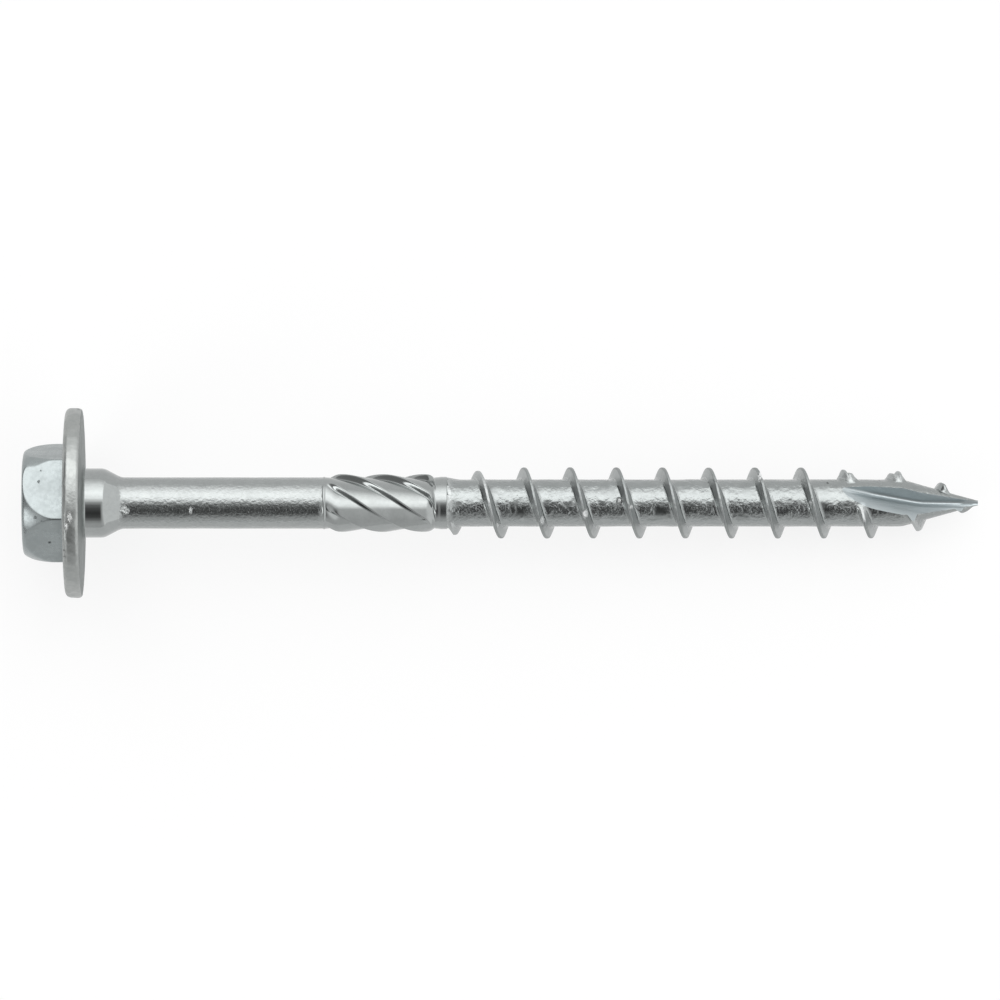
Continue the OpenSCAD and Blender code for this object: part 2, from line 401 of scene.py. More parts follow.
    def turned_outline(self) -> tuple[np.ndarray, np.ndarray]:
        """Outline from the flange rim to the swelling before the thread: arcs and straight lines.

        Returns:
            Radius and height of each ring.
        """
        quarter = np.radians(steps(0, 90, 9))
        rim_r = self.flange_r - self.rim_top_r
        top_z = -self.flange_t + self.rim_top_r
        low_r = self.flange_r - self.rim_low_r
        root_r = self.collar_r + self.collar_fillet_r
        fillet_end = self.bearing_rise + self.collar_fillet_r
        slope = math.radians(self.collar_slope)
        fall = self.collar_r - self.shank_r
        round_r = min(self.collar_round_r, 0.45 * fall / (1 - math.cos(slope)))
        straight = fall - 2 * round_r * (1 - math.cos(slope))
        foot_z = self.collar_l + 2 * round_r * math.sin(slope) + straight / math.tan(slope)
        shank_end = self.cutter_z - self.ring_l
        bend = steps(0, slope, 8)
        back = bend[::-1]
        ring = steps(0, 1, 8)
        pieces = [
            (rim_r + self.rim_top_r * np.sin(quarter), top_z - self.rim_top_r * np.cos(quarter)),
            (np.full(4, self.flange_r), np.linspace(top_z, -self.rim_low_l, 6)[1:-1]),
            (low_r + self.rim_low_r * np.cos(quarter), -self.rim_low_l + self.rim_low_l * np.sin(quarter)),
            (steps(low_r, root_r, 8), steps(0, self.bearing_rise, 8)),
            (
                root_r - self.collar_fillet_r * np.sin(quarter),
                self.bearing_rise + self.collar_fillet_r * (1 - np.cos(quarter)),
            ),
            (np.full(8, self.collar_r), steps(fillet_end, self.collar_l, 8)),
            (self.collar_r - round_r * (1 - np.cos(bend)), self.collar_l + round_r * np.sin(bend)),
            (self.shank_r + round_r * (1 - np.cos(back)), foot_z - round_r * np.sin(back)),
            (np.full(34, self.shank_r), np.linspace(foot_z, shank_end, 34)),
            (self.shank_r + self.ring_h * np.sin(math.pi * ring), shank_end + self.ring_l * ring),
        ]
        return tuple(np.concatenate(part) for part in zip(*pieces))

    def cutter_rings(self) -> Rings:
        """Rings of the ribs and of the swelling before the thread.

        The columns turn with the ribs, so each rib keeps to its own columns. The ribs are saw teeth:
        each falls steeply on one side of its crest, and on the other side its slope runs on to the
        foot of the next. At the far end they bend round and run into the circumference.

        Returns:
            Radius and height, one row per ring and one column per angle, and the angles.
        """
        end = self.cutter_l
        # The rings are closer where the ribs begin and where they bend round
        bounds = (0, 1.2, end - 1.4, end + 0.1, self.swell_z - self.cutter_z)
        counts = (13, 39, 25, 11)
        z = np.concatenate([steps(*part) for part in zip(bounds, bounds[1:], counts)])[:, None]
        reach = np.minimum(z, end)
        bent = blend_in(reach, end - self.rib_bend_l, end + 0.5)
        turn = 360 * reach / self.rib_lead + self.rib_bend * bent**2
        angle = self.angles(np.zeros(len(z))) + turn
        sector = 360 / self.rib_count
        off = (turn + self.rib_turn - angle) % sector
        steep_from = sector - self.rib_steep
        fall = np.where(off < steep_from, off / steep_from, 1 - blend_in(off, steep_from, sector))
        tooth = self.rib_h - (self.rib_h + self.valley_h) * fall
        rise = blend_in(z, -0.05, self.rib_rise_l) * (1 - blend_in(z, end - self.rib_sink_l, end + 0.05))
        swell_start = self.swell_z - self.cutter_z - self.swell_l
        swell = blend_in(z, swell_start, swell_start + self.swell_l * 0.5)
        radius = self.shank_r + tooth * rise + self.swell_h * swell
        return radius, self.cutter_z + z + 0 * radius, angle

    def build(self) -> bpy.types.Object:
        """Builds the skin, from the pole on the hexagon's end to a pole inside the thread's core.

        Returns:
            The piece, with a zone's number as each face's material index.
        """
        turned_r, turned_z = self.turned_outline()
        even = self.angles(np.zeros(len(turned_r)))
        cutter = self.cutter_rings()
        inner = np.array(self.inner_rings)
        last = np.repeat(cutter[2][-1:], len(inner), 0)
        parts = [
            self.head_rings(),
            (turned_r[:, None] + 0 * even, turned_z[:, None] + 0 * even, even),
            cutter,
            (inner[:, :1] + 0 * last, self.swell_z + inner[:, 1:] + 0 * last, last),
        ]
        radius, height, angle = (np.concatenate(part) for part in zip(*parts))
        uneven = waves(SEED + 1, 12, (2.5, 9), *about_axis(radius, angle, height))
        on_shank = blend_in(height, 4.5, 6)
        radius = radius - self.unevenness * on_shank * (1 + uneven)
        on_rim = blend_in(radius, self.flange_r - 0.9, self.flange_r - 0.2)
        lumps = waves(SEED + 5, 9, (0.9, 3.2), *about_axis(radius, angle, height * 0.6))
        radius = radius - self.rim_unevenness * on_rim * (1 + lumps) * 0.5
        rings = np.stack(about_axis(radius, angle, height), -1)
        poles = [[0, 0, height[0].mean()], [0, 0, height[-1, 0]]]
        piece = closed_skin("head_and_shank", self.lie, rings, poles)
        piece.data.polygons.foreach_set("material_index", self.zones(radius, height))
        smooth_with_sharp_edges(piece, degrees=60)
        return piece

    def zones(self, radius: np.ndarray, height: np.ndarray) -> np.ndarray:
        """Number of the zone of each face, by the ring that it starts at.

        Args:
            radius: Radius of the corners, by ring and column.
            height: Height of the corners.

        Returns:
            One zone number per face, with the fan on the end and the inner one last.
        """
        radius, z = radius[:-1].ravel(), height[:-1].ravel()
        zone = np.full(len(z), Zone.FORGED_HEAD.value)
        zone[(radius > self.flange_r - self.rim_top_r) & (z < -TINY)] = Zone.RIM.value
        zone[z >= -TINY] = Zone.BEARING.value
        zone[(z >= -TINY) & (radius < self.collar_r + 0.04)] = Zone.COLLAR.value
        zone[z > self.collar_l + self.cone_l] = Zone.SHANK.value
        zone[z > self.cutter_z - self.ring_l] = Zone.CUTTER.value
        fans = np.repeat([Zone.FORGED_HEAD.value, Zone.CUTTER.value], self.columns)
        return np.concatenate([zone, fans]).astype(np.int32)


@dataclass
class ThreadAndPoint:
    """Threaded core, point and cutting notch, as one skin that follows the helix."""

    lie: Lie  # Where the screw lies
    screw_l: float = 100.0  # Length from the bearing face to the point
    thread_z: float = 40.95  # Height at which the thread starts
    thread_turn: float = 225.0  # Angle at which it starts, in degrees
    # Turns from there at which the ridge has the shares in start_shares
    start_turns: tuple[float, ...] = (0, 0.12, 0.65, 1.15)
    start_shares: tuple[float, ...] = (0, 0.68, 0.72, 1)  # Shares of the ridge's height at its start
    thread_r: float = 3.975  # Radius over the crests
    core_r: float = 2.64  # Radius of the core
    neck_r: float = 2.9  # Radius of the core where it leaves the shank
    neck_z: float = 40.7  # Height at which it leaves the shank
    neck_l: float = 1.65  # Length over which it falls to the core
    pitch: float = 5.15  # Length of one turn
    ridge_w: float = 1.08  # Width of the ridge at the core
    crest_w: float = 0.26  # Width of the blunt crest
    root_r: float = 0.1  # Width of the fillet at the foot of the ridge
    cone_l: float = 8.5  # Length of the cone that ends the core
    tip_r: float = 0.25  # Radius of the blunt point
    crest_fall_l: float = 12.6  # Length over which the crests bend in
    notch_l: float = 15.5  # Length of the notch
    notch_runout_l: float = 3.45  # Length of its shallow run-out
    notch_back_turn: float = -40.0  # Angle of its run-out about the axis, in degrees
    notch_floor_h: float = 1.06  # Height of its floor above the axis
    notch_side: float = 1.0  # Distance of its floor to one side
    notch_broad_angle: float = 43.0  # Slope of its broad wall, in degrees
    # Slope of the narrow wall at its foot and at its top, in degrees, and its width
    notch_curve: Triple = (20.0, 49.0, 0.42)
    crease_r: float = 0.1  # Width of the rounding at the bottom of the notch
    # Distances from the crease at which the walls have corners, in tenths of a millimetre
    wall_steps: tuple[float, ...] = (1.5, 2.5, 3.5, 5, 7, 10, 14, 20, 28, 38, 50, 200)
    die_ridge: float = 0.012  # Height of the ridges that the die leaves on the walls
    broad_ridge: float = 0.016  # Height of the longer ones on the broad wall
    cleared_from: float = 126.0  # Angle at which the ridge is flat beside the notch, in degrees
    cleared_to: float = 182.0  # Angle up to which it is flat
    fold_turn: float = 84.0  # Angle at which the last crests are folded most, in degrees
    fold_spread: float = 30.0  # Angle over which the folds fade, in degrees
    # Heights of the hump nearer to the head, on the first and the second folded turn, and those of
    # the other hump, as shares of the ridge's height
    fold_h: tuple[Pair, Pair] = ((0.84, 0.62), (0.56, 0.93))
    late_l: float = 0.4  # Length by which the very last crest comes later than the pitch gives
    late_reach: Pair = (83.0, 97.0)  # Heights between which it falls behind
    unevenness: float = 0.012  # Height of the uneven waves in the core
    nick_depth: float = 0.05  # Depth of the nicks in the crests
    nick_reach: Pair = (1.2, 2.6)  # Heights of the waves at which a nick begins and is full
    columns: int = 200  # Columns round the axis

    def section(self) -> np.ndarray:
        """Section of one turn: the ridge, with its fillets, and then the plain core.

        Returns:
            Rows of place along the axis, from the middle of the ridge, and share of its height.
        """
        half = self.ridge_w / 2
        crest = self.crest_w / 2
        flank = np.array([0.2, 0.4, 0.6, 0.8, 0.93])
        out = half - (half - crest) * flank
        root = self.root_r
        rising = [[-half - root * 0.7, 0], [-half, 0.035], [-half + root * 0.45, 0.13]]
        left = [*rising, *zip(-out, flank), [-crest, 0.985]]
        top = [[-crest / 2, 1], [0, 1], [crest / 2, 1]]
        right = [[-place, share] for place, share in reversed(left)]
        plain = np.linspace(half + root * 0.7, self.pitch - half - root * 0.7, 12)[1:-1]
        return np.array([*left, *top, *right, *([place, 0] for place in plain)])

    def core_at(self, z: np.ndarray) -> np.ndarray:
        """Radius of the core: the neck's ease down, a straight stretch and the cone to the point.

        Args:
            z: Heights.

        Returns:
            The radius at each height, a little less where the shank hides it.
        """
        neck = (self.neck_r - self.core_r) * (1 - blend_in(z, self.neck_z - 0.5, self.neck_z + self.neck_l))
        hidden = -0.2 * (z < self.neck_z - 0.05)
        fall = (z - self.screw_l + self.cone_l) / self.cone_l
        cone = np.where(fall > 0, self.core_r - fall * (self.core_r - self.tip_r), self.core_r)
        return np.maximum(cone, self.tip_r) + neck + hidden

    def crest_at(self, z: np.ndarray) -> np.ndarray:
        """Radius of the crests: level, and then a parabola that meets the point.

        Args:
            z: Heights.

        Returns:
            The radius at each height.
        """
        past = np.clip(1 - (self.screw_l - z) / self.crest_fall_l, 0, None)
        return np.maximum(self.thread_r - past**2 * (self.thread_r - self.tip_r), self.core_at(z))

    def skin(self) -> tuple[np.ndarray, list[np.ndarray]]:
        """One skin along the helix, closed at both ends.

        Each column runs along the axis through every turn, and column j is shifted by j / columns
        of the pitch, so the last column's rows meet the first column's one turn further on.

        Returns:
            Corners and faces.
        """
        section = self.section()
        marks = len(section)
        turns = math.ceil((self.screw_l - self.thread_z + self.ridge_w) / self.pitch) + 1
        rows = marks * turns
        j = np.arange(self.columns)[:, None]
        i = np.arange(rows + 1)[None, :]
        turn = i // marks - 1 + j / self.columns
        place = section[i % marks, 0]
        share = section[i % marks, 1]
        z = self.thread_z + self.pitch * turn + place
        z = z + self.late_l * blend_in(z, *self.late_reach)
        degrees = self.thread_turn + 360 * j / self.columns
        start = np.interp(turn, self.start_turns, self.start_shares)
        core = self.core_at(z)
        full = self.crest_at(z) - core
        height = self.folded(share, place, z, degrees) * self.cleared(z, degrees)
        on_core = about_axis(core, degrees, z)
        low = waves(SEED + 2, 14, (1.6, 5), *on_core)
        nicks = waves(SEED + 3, 16, (0.8, 2.2), *on_core)
        radius = core - self.unevenness * (1 + low) + full * height * start
        radius -= self.nick_depth * share * blend_in(nicks, *self.nick_reach)
        points = np.stack(about_axis(np.maximum(radius, 0.1), degrees, z), -1).reshape(-1, 3)
        ends = self.thread_z + self.pitch * (np.array([-1, turns - 1]) + 0.5) - self.ridge_w / 2
        poles = [[0, 0, end] for end in ends]
        return np.concatenate([points, poles]), self.helix_faces(rows, marks)

    def cleared(self, z: np.ndarray, degrees: np.ndarray) -> np.ndarray:
        """Share of the ridge that is left beside the notch, where its die pressed the ridge flat.

        Args:
            z: Heights.
            degrees: Angles about the axis.

        Returns:
            The share at each point.
        """
        low, high = self.cleared_from, self.cleared_to
        before, after, back_l = 28, 40, 0.6
        turn = degrees % 360
        open_side = 1 - blend_in(turn, low - before, low) + blend_in(turn, high, high + after)
        back = self.screw_l - self.notch_l
        return 1 - (1 - np.clip(open_side, 0, 1)) * blend_in(z, back - back_l, back + back_l)

    def folded(
        self, share: np.ndarray, place: np.ndarray, z: np.ndarray, degrees: np.ndarray
    ) -> np.ndarray:
        """Folds the crest of the last turns above the notch: two humps with a furrow between.

        Args:
            share: Share of the ridge's height in its plain section.
            place: Place along the axis, from the middle of the ridge.
            z: Heights.
            degrees: Angles about the axis.

        Returns:
            Share of the ridge's height.
        """
        hump_at, hump_w = 0.4, 0.27
        furrow_h, furrow_w = 0.5, 0.35
        start, second, end = (82, 84.5), (87.5, 88.5), (93.5, 94.5)
        off = (degrees - self.fold_turn + 180) % 360 - 180
        facing = np.exp(-((off / self.fold_spread) ** 2))
        amount = facing * blend_in(z, *start) * (1 - blend_in(z, *end))
        nearer, further = (np.interp(z, second, pair) for pair in self.fold_h)
        hump_h = np.where(place < 0, nearer, further)
        humps = np.exp(-(((np.abs(place) - hump_at) / hump_w) ** 4)) * hump_h
        furrow = furrow_h * np.exp(-((place / furrow_w) ** 4))
        return share + amount * (np.maximum(humps, furrow) - share)

    def helix_faces(self, rows: int, marks: int) -> list[np.ndarray]:
        """Faces between neighbouring columns, the seam one turn on, and a fan at each end.

        Args:
            rows: Steps along a column.
            marks: Steps in one turn.

        Returns:
            The quads and the triangles.
        """
        column = rows + 1
        j = np.arange(self.columns - 1)
        a = (j[:, None] * column + np.arange(rows)).ravel()
        last = (self.columns - 1) * column
        k = np.arange(rows - marks)
        m = np.arange(marks)
        n = last + m + rows - marks
        start = self.columns * column
        finish = start + 1
        quads = [
            np.stack([a, a + column, a + column + 1, a + 1], -1),
            np.stack([last + k, k + marks, k + marks + 1, last + k + 1], -1),
        ]
        fans = [
            np.stack([start + 0 * j, (j + 1) * column, j * column], -1),
            np.array([[start, marks, last]]),
            np.stack([start + 0 * m, m, m + 1], -1),
            np.stack([finish + 0 * j, j * column + rows, (j + 1) * column + rows], -1),
            np.stack([finish + 0 * m, n + 1, n], -1),
            np.array([[finish, last + rows - marks, rows]]),
        ]
        return [np.concatenate(quads), np.concatenate(fans)]

    def floor_line(self) -> np.ndarray:
        """Bottom of the notch, from where it runs out at the back to past the point.

        Returns:
            Points of the line, one row each, eased where it bends.
        """
        back = self.screw_l - self.notch_l
        out = math.radians(self.notch_back_turn)
        start = -self.thread_r - 0.15
        half_way = self.screw_l - self.notch_l * 0.42
        ease_w = 2.2
        corners = np.array([
            [start * math.cos(out), start * math.sin(out), back - self.notch_runout_l / 2],
            [-self.core_r * math.cos(out), -self.core_r * math.sin(out), back],
            [-self.notch_floor_h, self.notch_side, back + self.notch_runout_l],
            [-self.notch_floor_h / 2, 0, half_way],
            [0, -0.15, self.screw_l + 0.7],
        ])
        z = np.linspace(corners[0, 2], corners[-1, 2], 60)
        path = np.stack([np.interp(z, corners[:, 2], corners[:, n]) for n in range(3)], -1)
        weights = np.exp(-(np.arange(-4, 5) / ease_w) ** 2)
        weights /= weights.sum()
        padded = np.pad(path, ((4, 4), (0, 0)), "edge")
        eased = [np.convolve(padded[:, n], weights, "valid") for n in range(2)]
        path[2:-2, :2] = np.stack(eased, -1)[2:-2]
        return path

    def narrow_wall(self, climb: np.ndarray) -> np.ndarray:
        """Hollow wall of the notch, which gets steeper away from its crease.

        Args:
            climb: Distances from the crease, along the wall.

        Returns:
            Offset from the crease at each distance, square to the axis.
        """
        foot, top, width = self.notch_curve
        fine = np.linspace(0, climb[-1], 2001)
        slope = np.radians(foot + (top - foot) * np.clip(fine / width, 0, 1))
        step = fine[1] - fine[0]
        offsets = np.cumsum(np.stack([-np.sin(slope), np.cos(slope)], -1) * step, 0)
        return np.stack([*(np.interp(climb, fine, offsets[:, n]) for n in range(2)), 0 * climb], -1)

    def notch_tool(self) -> bpy.types.Object:
        """The wedge that cuts the notch: its section, with a small rounding, along the floor line.

        The walls carry faint ridges left by the cutting die, which run along them.

        Returns:
            The closed wedge, which is removed after the cut.
        """
        path = self.floor_line()
        slope = math.radians(self.notch_broad_angle)
        broad = np.array([-math.sin(slope), -math.cos(slope), 0])
        climb = np.array(self.wall_steps) * 0.1
        up = np.array([-1.0, 0, 0])
        row = np.arange(len(path)) / len(path)
        section = [path + up * self.crease_r * 0.5]
        narrow = self.narrow_wall(climb)
        for step, (reach, offset) in enumerate(zip(climb, narrow)):
            ridge = self.die_ridge * math.sin(step * 2.3) + 0 * row
            section.append(path + offset + up * ridge[:, None] * (reach < 6))
        section.append(path + narrow[-1] + broad * climb[-1])
        for step, reach in reversed(list(enumerate(climb))):
            ridge = self.broad_ridge * math.sin(step * 1.9 + 1) + self.die_ridge * np.sin(row * 9 + step)
            section.append(path + broad * reach + up * ridge[:, None] * (reach < 6))
        rings = np.stack(section, 1)
        return closed_skin("notch_tool", self.lie, rings, rings[[0, -1]].mean(1))

    def tip_tool(self) -> bpy.types.Object:
        """The block that squares off everything past the point.

        Returns:
            The closed block, which is removed after the cut.
        """
        z = self.screw_l - 0.02
        corner = np.array([[-1, -1], [1, -1], [1, 1], [-1, 1]]) * 6.0
        rings = np.stack([np.c_[corner, np.full(4, h)] for h in (z, z + 12)])
        return closed_skin("tip_tool", self.lie, rings, [[0, 0, z], [0, 0, z + 12]])

    def build(self, materials: list[bpy.types.Material]) -> bpy.types.Object:
        """Builds the threaded skin and cuts the blunt point and the notch into it.

        Args:
            materials: Finish of the rolled thread, and of the cut notch.

        Returns:
            The piece, with both finishes in its slots.
        """
        points, faces = self.skin()
        piece = mesh_object("thread_and_point", self.lie.place(points), faces)
        for material in materials:
            piece.data.materials.append(material)
        for tool in (self.tip_tool(), self.notch_tool()):
            for material in materials:
                tool.data.materials.append(material)
            tool.data.polygons.foreach_set("material_index", [1] * len(tool.data.polygons))
            cut = piece.modifiers.new(tool.name, "BOOLEAN")
            cut.operation = "DIFFERENCE"
            cut.solver = "EXACT"
            cut.object = tool
            graph = bpy.context.evaluated_depsgraph_get()
            mesh = bpy.data.meshes.new_from_object(piece.evaluated_get(graph), depsgraph=graph)
            piece.modifiers.clear()
            if len(mesh.polygons) < len(faces[0]) // 2:
                raise RuntimeError(f"{tool.name} took away the whole piece")
            piece.data = mesh
            bpy.data.objects.remove(tool)
        piece.data.name = piece.name
        smooth_with_sharp_edges(piece, degrees=42)
        return piece


Value = float | tuple | bpy.types.NodeSocket
Socket = bpy.types.NodeSocket
Sockets = bpy.types.bpy_prop_collection


class Tree:
    """Adds nodes to one shader tree and joins them."""

    def __init__(self, tree: bpy.types.NodeTree) -> None:
        """Keeps the tree that the nodes go into."""
        self.tree = tree

    def fill(self, node: bpy.types.Node, inputs: dict[str | int, Value]) -> None:
        """Sets or joins inputs of a node.

        Args:
            node: The node.
            inputs: Values or sockets, by the name or the number of the input.
        """
        for key, value in inputs.items():
            if isinstance(value, Socket):
                self.tree.links.new(value, node.inputs[key])
            else:
                node.inputs[key].default_value = value

    def add(self, kind: str, inputs: dict | None = None, **settings) -> bpy.types.Node:
        """Adds a node, sets its options, and fills or joins its inputs.

        Args:
            kind: Type of the node.
            inputs: Values or sockets, by the name or the number of the input.
            settings: Options of the node.

        Returns:
            The node.
        """
        node = self.tree.nodes.new(kind)
        for name, value in settings.items():
            setattr(node, name, value)
        self.fill(node, inputs or {})
        return node

    def math(self, operation: str, a: Value, b: Value = 0.0) -> Socket:
        """Adds a Math node and returns its result."""
        return self.add("ShaderNodeMath", {0: a, 1: b}, operation=operation).outputs[0]

    def plus(self, base: Value, part: Value, weight: float) -> Socket:
        """Adds a part, times its weight, to a base and returns the sum."""
        return self.math("ADD", base, self.math("MULTIPLY", part, weight))

    def vector(self, operation: str, *parts: Value) -> Socket:
        """Adds a Vector Math node and returns its result, which is a number for a length."""
        node = self.add("ShaderNodeVectorMath", dict(enumerate(parts)), operation=operation)
        return node.outputs["Value" if operation in ("LENGTH", "DOT_PRODUCT") else "Vector"]

    def span(self, value: Value, low: float, high: float, to_low=0.0, to_high=1.0) -> Socket:
        """Maps a range of values smoothly to another one and returns the result."""
        inputs = {"Value": value, "From Min": low, "From Max": high, "To Min": to_low, "To Max": to_high}
        return self.add("ShaderNodeMapRange", inputs, interpolation_type="SMOOTHSTEP").outputs["Result"]

    def mix(self, factor: Value, a: Value, b: Value) -> Socket:
        """Mixes two colours and returns the result."""
        return self.add("ShaderNodeMix", {0: factor, 6: a, 7: b}, data_type="RGBA").outputs[2]

    def noise(self, point: Value, size: float, detail: float, stretch=(1, 1, 1)) -> Socket:
        """Adds noise.

        Args:
            point: Where to take it.
            size: Size of its lumps, in millimetres.
            detail: Number of finer noises on it.
            stretch: Shares of its fineness along each axis.

        Returns:
            Its value, from 0 to 1.
        """
        scaled = self.vector("MULTIPLY", point, tuple(s / size for s in stretch))
        inputs = {"Vector": scaled, "Scale": 1.0, "Detail": detail, "Roughness": 0.55}
        return self.add("ShaderNodeTexNoise", inputs).outputs["Fac"]


@dataclass(frozen=True)
class Mark:
    """One nick or pit."""

    along: float  # Height along the screw, in millimetres
    aside: float  # Distance to one side of the axis, in millimetres
    radius: float  # Distance from the axis, in millimetres
    size: float  # Radius of the mark, in millimetres
    squeeze: float = 1.0  # How much narrower it is across the screw than along it
    shine: float = 0.7  # How bright its bare steel is, from 0 to 1
    is_pit: bool = False  # Whether it is a dark hollow, rather than a tilted spot

    def centre(self) -> Vector:
        """Centre of the mark in the screw's frame."""
        return Vector((-math.sqrt(self.radius**2 - self.aside**2), self.aside, self.along))


BARE_STEEL = (0.86, 0.87, 0.87, 1.0)
NICK_FACING = (-0.956, 0.292, 0.0)  # Direction that a nick faces, in the screw's frame
NICK_TILT = 1.2  # Slope of a nick
MARK_WOBBLE = 0.35  # Distance by which noise moves the edges of the marks, in millimetres
MARK_MIDDLE = 0.6  # Share of a mark's radius in which it is at its full strength
DEPTH_SHARE = 0.3  # Weight of a distance in depth, beside one across the screw
PIT_SHADE = 0.6  # Darkness of a pit
PIT_DEPTH = 0.03  # Depth of a pit, in millimetres
MARKS = (
    Mark(-4.55, 2.34, 6.2, 0.18, is_pit=True),
    Mark(-4.35, 3.57, 6.3, 0.12, is_pit=True),
    Mark(-4.9, -1.6, 6.4, 0.2, is_pit=True),
    Mark(-4.2, -2.0, 6.4, 0.16, is_pit=True),
    Mark(-1.6, -5.2, 10.6, 0.16, is_pit=True),
    Mark(-1.6, -5.9, 10.6, 0.16, is_pit=True),
    Mark(-0.9, -1.6, 10.6, 0.3, 0.4, shine=0.3),
    Mark(-1.3, -2.6, 10.6, 0.26, 0.4, shine=0.3),
    Mark(4.9, -0.75, 2.875, 0.6, shine=0.12),
    Mark(12.2, -0.8, 2.875, 0.22, 0.5, shine=0.25),
    Mark(46.4, -2.45, 3.4, 0.3),
    Mark(51.35, -1.9, 3.4, 0.38, 0.7),
    Mark(56.15, -1.15, 3.4, 0.42, 0.7),
    Mark(59.95, 0.3, 3.4, 0.45),
    Mark(61.25, -0.4, 3.4, 0.3),
    Mark(70.75, 2.38, 3.4, 0.26),
    Mark(75.65, 2.85, 3.6, 0.36, 0.6),
    Mark(81.15, 0.0, 3.4, 0.3),
    Mark(96.5, 1.67, 2.0, 0.22, is_pit=True),
)


class Effects:
    """Shader node groups that the finishes share. Their lengths are in millimetres."""

    def __init__(self, lie: Lie) -> None:
        """Builds each group once, with the inputs that are named here.

        Args:
            lie: Where the screw lies.
        """
        self.lie = lie
        self.groups = {
            "place": self.group(self.screw_place),
            "clouds": self.group(self.zinc_clouds, "Point"),
            "peel": self.group(self.orange_peel, "Point", "Size", "Calm"),
            "lines": self.group(self.die_lines, "Point", "Radius", "Along"),
            "pits": self.group(self.pit_marks, "Point", "Share"),
            "nicks": self.group(self.nick_marks, "Point"),
        }

    @staticmethod
    def group(make: Callable[[Tree, Sockets], dict[str, Socket]], *inputs: str) -> bpy.types.NodeTree:
        """Makes one node group, in which Point is a vector and all else is a number.

        Args:
            make: Method that adds the group's nodes.
            inputs: Names of the inputs.

        Returns:
            The group.
        """
        tree = bpy.data.node_groups.new(make.__name__, "ShaderNodeTree")
        nodes = Tree(tree)

        def add_sockets(names: Iterable[str], in_out: str) -> None:
            """Adds sockets to the group."""
            for name in names:
                kind = "NodeSocketVector" if name == "Point" else "NodeSocketFloat"
                tree.interface.new_socket(name, in_out=in_out, socket_type=kind)

        add_sockets(inputs, "INPUT")
        results = make(nodes, nodes.add("NodeGroupInput").outputs)
        add_sockets(results, "OUTPUT")
        nodes.add("NodeGroupOutput", results)
        return tree

    def use(self, nodes: Tree, name: str, **inputs: Value) -> Sockets:
        """Adds one of the groups to a material's tree and returns its results."""
        return nodes.add("ShaderNodeGroup", inputs, node_tree=self.groups[name]).outputs

    def screw_place(self, nodes: Tree, _: Sockets) -> dict[str, Socket]:
        """Place on the screw, in the screw's own frame, and distance from its axis.

        Args:
            nodes: Tree of the group.

        Returns:
            Its results.
        """
        back = self.lie.turn.transposed()
        inputs = {
            "Vector": nodes.add("ShaderNodeTexCoord").outputs["Object"],
            "Location": back @ self.lie.origin / -MM,
            "Rotation": back.to_euler(),
            "Scale": (1 / MM, 1 / MM, 1 / MM),
        }
        point = nodes.add("ShaderNodeMapping", inputs).outputs[0]
        x, y, z = nodes.add("ShaderNodeSeparateXYZ", {0: point}).outputs
        squares = nodes.math("ADD", nodes.math("MULTIPLY", x, x), nodes.math("MULTIPLY", y, y))
        return {"Point": point, "Radius": nodes.math("SQRT", squares), "Along": z}

    def zinc_clouds(self, nodes: Tree, start: Sockets) -> dict[str, Socket]:
        """Cloudy brightness of a zinc coating: broad soft patches with finer ones inside.

        Args:
            nodes: Tree of the group.
            start: Its inputs.

        Returns:
            Its results.
        """
        broad = nodes.span(nodes.noise(start["Point"], size=2.6, detail=3), 0.3, 0.7)
        fine = nodes.span(nodes.noise(start["Point"], size=0.42, detail=4), 0.34, 0.68)
        return {"Broad": broad, "Fine": fine}

    def orange_peel(self, nodes: Tree, start: Sockets) -> dict[str, Socket]:
        """Dimpled skin of rolled metal: lumps of the given size with grain on them, in patches.

        Args:
            nodes: Tree of the group.
            start: Its inputs.

        Returns:
            Its results.
        """
        inputs = {0: start["Point"], "Scale": nodes.math("DIVIDE", 1.0, start["Size"])}
        point = nodes.add("ShaderNodeVectorMath", inputs, operation="SCALE").outputs[0]
        lumps = nodes.noise(point, size=1.0, detail=2.5)
        height = nodes.plus(lumps, nodes.noise(point, size=0.32, detail=2), weight=0.22)
        wide = nodes.noise(start["Point"], size=2.2, detail=2)
        patches = nodes.math("SUBTRACT", wide, start["Calm"])
        level = nodes.span(patches, -0.12, 0.14, 0.12, 1.0)
        return {"Height": nodes.math("MULTIPLY", height, level)}

    def die_lines(self, nodes: Tree, start: Sockets) -> dict[str, Socket]:
        """Fine lines that a die leaves along the axis, and others that it leaves around it.

        Args:
            nodes: Tree of the group.
            start: Its inputs.

        Returns:
            Its results.
        """
        lengthwise = nodes.noise(start["Point"], size=0.16, detail=2, stretch=(1, 1, 0.035))
        place = nodes.add("ShaderNodeCombineXYZ", {0: start["Radius"], 1: start["Along"]})
        around = nodes.noise(place.outputs[0], size=0.12, detail=2)
        return {"Lengthwise": lengthwise, "Round": around}

    @staticmethod
    def wobbled(nodes: Tree, point: Socket, scale: float, amount: float) -> Socket:
        """Moves a point by noise, by up to the given amount, and returns it."""
        noise = nodes.add("ShaderNodeTexNoise", {"Vector": point, "Scale": scale, "Detail": 2.0})
        return nodes.vector("MULTIPLY_ADD", noise.outputs["Color"], (amount,) * 3, point)

